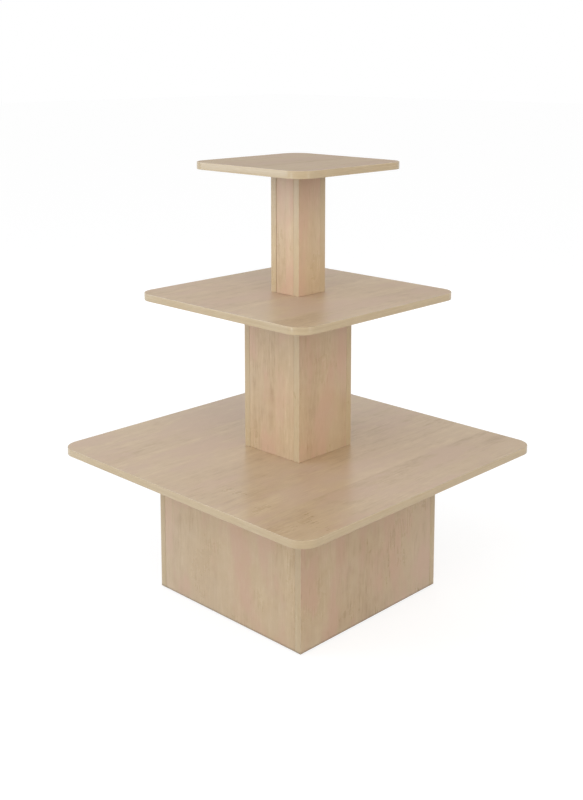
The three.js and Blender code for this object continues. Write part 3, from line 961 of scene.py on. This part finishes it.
def buildFoot(corner, ribTree, threadTree):
    foot = footSizes
    low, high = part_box(corner + "_foot_pad")
    at = (low + high) / 2
    pad = spinProfile(corner + "_pad", padProfile(), at)
    dress(pad, blackNylon)
    smoothBelow(pad, foot["smooth"])
    settle(pad, corner + "_foot", "black_nylon", corner + "_foot_pad")
    ribs = growFromTree(corner + "_pad_ribs", ribTree, {
        "Count": foot["ribs"], "Sides": foot["ribSides"], "Radius": foot["ribRing"],
        "Width": foot["ribWidth"], "Height": foot["ribHeight"],
        "Centre": (at.x, at.y, foot["ribMiddle"]), "Material": blackNylon})
    smoothBelow(ribs, foot["ribSmooth"])
    settle(ribs, corner + "_foot", "black_nylon")

    shank = spinProfile(corner + "_stud_shank", shankProfile(), at)
    collar = buildHex(corner + "_stud_collar", at)
    root = foot["rootRadius"]
    thread = growThread(
        corner + "_stud_thread", threadTree, root, foot["crest"] - root, foot["pitch"],
        foot["hexTop"] + foot["threadGap"], foot["studTop"] - foot["tip"], (at.x, at.y, 0))
    for piece in (shank, collar):
        dress(piece, zincPlate)
        smoothBelow(piece, foot["smooth"])
        settle(piece, corner + "_stud", "zinc_steel", corner + "_foot_stud")
    settle(thread, corner + "_stud", "zinc_steel")


footTrees = (makeRibTree(), makeThreadTree())
for corner in corners:
    buildFoot(corner, *footTrees)

rodSizes = {"root": 0.0044, "depth": 0.0008, "pitch": 0.0015, "end": 0.001}
rodThread = growThread(
    "tie_rod_thread", footTrees[1], rodSizes["root"], rodSizes["depth"], rodSizes["pitch"],
    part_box("tie_rod")[0].z + rodSizes["end"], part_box("tie_rod_nut")[0].z - rodSizes["end"], (0, 0, 0))
settle(rodThread, "table", "zinc_steel")
print("feet and tie rod built")


# floor, world and lamps
stageSizes = {
    "floor": 60.0, "floorDrop": 0.0004, "floorTint": 0.6, "shadowTint": 0.3, "floorGlow": 0.78,
    "horizon": 1.38, "zenith": 0.48, "zenithAt": 0.9, "towardsFront": 0.21, "lampsAim": (0, 0, 0.6),
}


def grey(level):
    return (level, level, level, 1.0)


def seenOnly(tree, other, seen, outputKind):      # what the camera, mirrors and glass show, and the rest
    rays = putNode(tree, "ShaderNodeLightPath").outputs
    mask = mathNode(tree, "MAXIMUM", rays["Is Camera Ray"], rays["Is Glossy Ray"])
    mask = mathNode(tree, "MAXIMUM", mask, rays["Is Transmission Ray"])
    pick = putNode(tree, "ShaderNodeMixShader", {0: mask, 1: other, 2: seen})
    putNode(tree, outputKind, {"Surface": pick.outputs[0]})


def buildFloor():
    half, z = stageSizes["floor"] / 2, -stageSizes["floorDrop"]
    mesh = bpy.data.meshes.new("studioFloor")
    spots = [(-half, -half, z), (half, -half, z), (half, half, z), (-half, half, z)]
    mesh.from_pydata(spots, [], [(0, 1, 2, 3)])
    floor = newObject("studioFloor", mesh)
    material = bpy.data.materials.new("paleFloor")
    material.use_nodes = True
    tree = material.node_tree
    tree.nodes.clear()
    bounce = putNode(tree, "ShaderNodeBsdfDiffuse", {"Color": grey(stageSizes["floorTint"])}).outputs[0]
    shade = putNode(tree, "ShaderNodeBsdfDiffuse", {"Color": grey(stageSizes["shadowTint"])}).outputs[0]
    glow = putNode(tree, "ShaderNodeEmission", {"Strength": stageSizes["floorGlow"]}).outputs[0]
    # near white, and the object's shadow still shows on it
    both = putNode(tree, "ShaderNodeAddShader", {0: shade, 1: glow}).outputs[0]
    seenOnly(tree, bounce, both, "ShaderNodeOutputMaterial")
    mesh.materials.append(material)


def buildWorld():
    world = bpy.data.worlds.new("studioWorld")
    scene.world = world
    world.use_nodes = True
    tree = world.node_tree
    tree.nodes.clear()
    sky = splitParts(tree, putNode(tree, "ShaderNodeTexCoord").outputs["Generated"])
    levels = (0.0, stageSizes["zenithAt"], stageSizes["horizon"], stageSizes["zenith"])
    level = rampRange(tree, sky[2], *levels)      # soft light comes in mostly from the sides and the front
    front = times(tree, mathNode(tree, "SUBTRACT", sky[0], sky[1]), stageSizes["towardsFront"])
    strength = times(tree, level, plus(tree, front, 1.0))
    soft = putNode(tree, "ShaderNodeBackground", {"Color": grey(1.0), "Strength": strength}).outputs[0]
    white = putNode(tree, "ShaderNodeBackground", {"Color": grey(1.0), "Strength": 1.0}).outputs[0]
    seenOnly(tree, soft, white, "ShaderNodeOutputWorld")


plain = (1.0, 1.0, 1.0)
lampSizes = {
    "key": {"at": (-3.0, -3.6, 1.6), "size": (2.6, 2.6), "power": 48, "tint": (0.87, 1.0, 1.13)},
    "highKey": {"at": (-2.6, -3.2, 3.6), "size": (2.4, 2.4), "power": 26, "tint": (0.78, 0.92, 1.3)},
    "front": {"at": (2.4, -2.4, 3.8), "size": (2.4, 2.4), "power": 42, "tint": (1.08, 1.0, 0.92)},
    "fill": {"at": (4.6, -1.6, 2.6), "size": (3.2, 3.2), "power": 7, "tint": (1.5, 1.05, 0.45)},
    "back": {"at": (-2.9, 2.9, 1.1), "size": (2.6, 1.8), "power": 32, "tint": plain, "mirrored": False},
    # narrow strips that pick out the rounded corners
    "leftStrip": {"at": (0.0, -3.3, 0.6), "size": (0.25, 1.1), "power": 7, "tint": plain},
    "rightStrip": {"at": (3.3, 0.0, 0.6), "size": (0.25, 1.1), "power": 4, "tint": plain},
}


def buildLamps():
    for label, sizes in lampSizes.items():
        lamp = bpy.data.lights.new(label, "AREA")
        lamp.shape = "RECTANGLE"
        lamp.size, lamp.size_y = sizes["size"]
        lamp.energy = sizes["power"]
        lamp.color = sizes["tint"]
        obj = newObject(label, lamp)
        obj.location = sizes["at"]
        aim = Vector(stageSizes["lampsAim"]) - obj.location
        obj.rotation_euler = aim.to_track_quat("-Z", "Y").to_euler()
        obj.visible_camera = False
        obj.visible_glossy = sizes.get("mirrored", True)


buildFloor()
buildWorld()
buildLamps()
print("stage built")

# camera: stands off the front corner and looks down a little
cameraSizes = {
    "lens": 51.38, "sensor": 36.0, "shift": -0.22, "reach": 200,
    "distance": 2.992, "aside": 0.0176, "height": 1.453, "turn": 44.31, "pitch": 8.34,
}
turnAngle = math.radians(cameraSizes["turn"])
turnSin, turnCos = math.sin(turnAngle), math.cos(turnAngle)
cameraData = bpy.data.cameras.new("photoCamera")
cameraData.lens = cameraSizes["lens"]
cameraData.sensor_width = cameraSizes["sensor"]
cameraData.shift_y = cameraSizes["shift"]
cameraData.clip_end = cameraSizes["reach"]
camera = newObject("photoCamera", cameraData)
camera.location = (
    cameraSizes["distance"] * turnSin - cameraSizes["aside"] * turnCos,
    -cameraSizes["distance"] * turnCos - cameraSizes["aside"] * turnSin,
    cameraSizes["height"])
camera.rotation_euler = (math.radians(90 - cameraSizes["pitch"]), 0, turnAngle)
scene.camera = camera
scene.view_settings.view_transform = "Standard"

print("done")
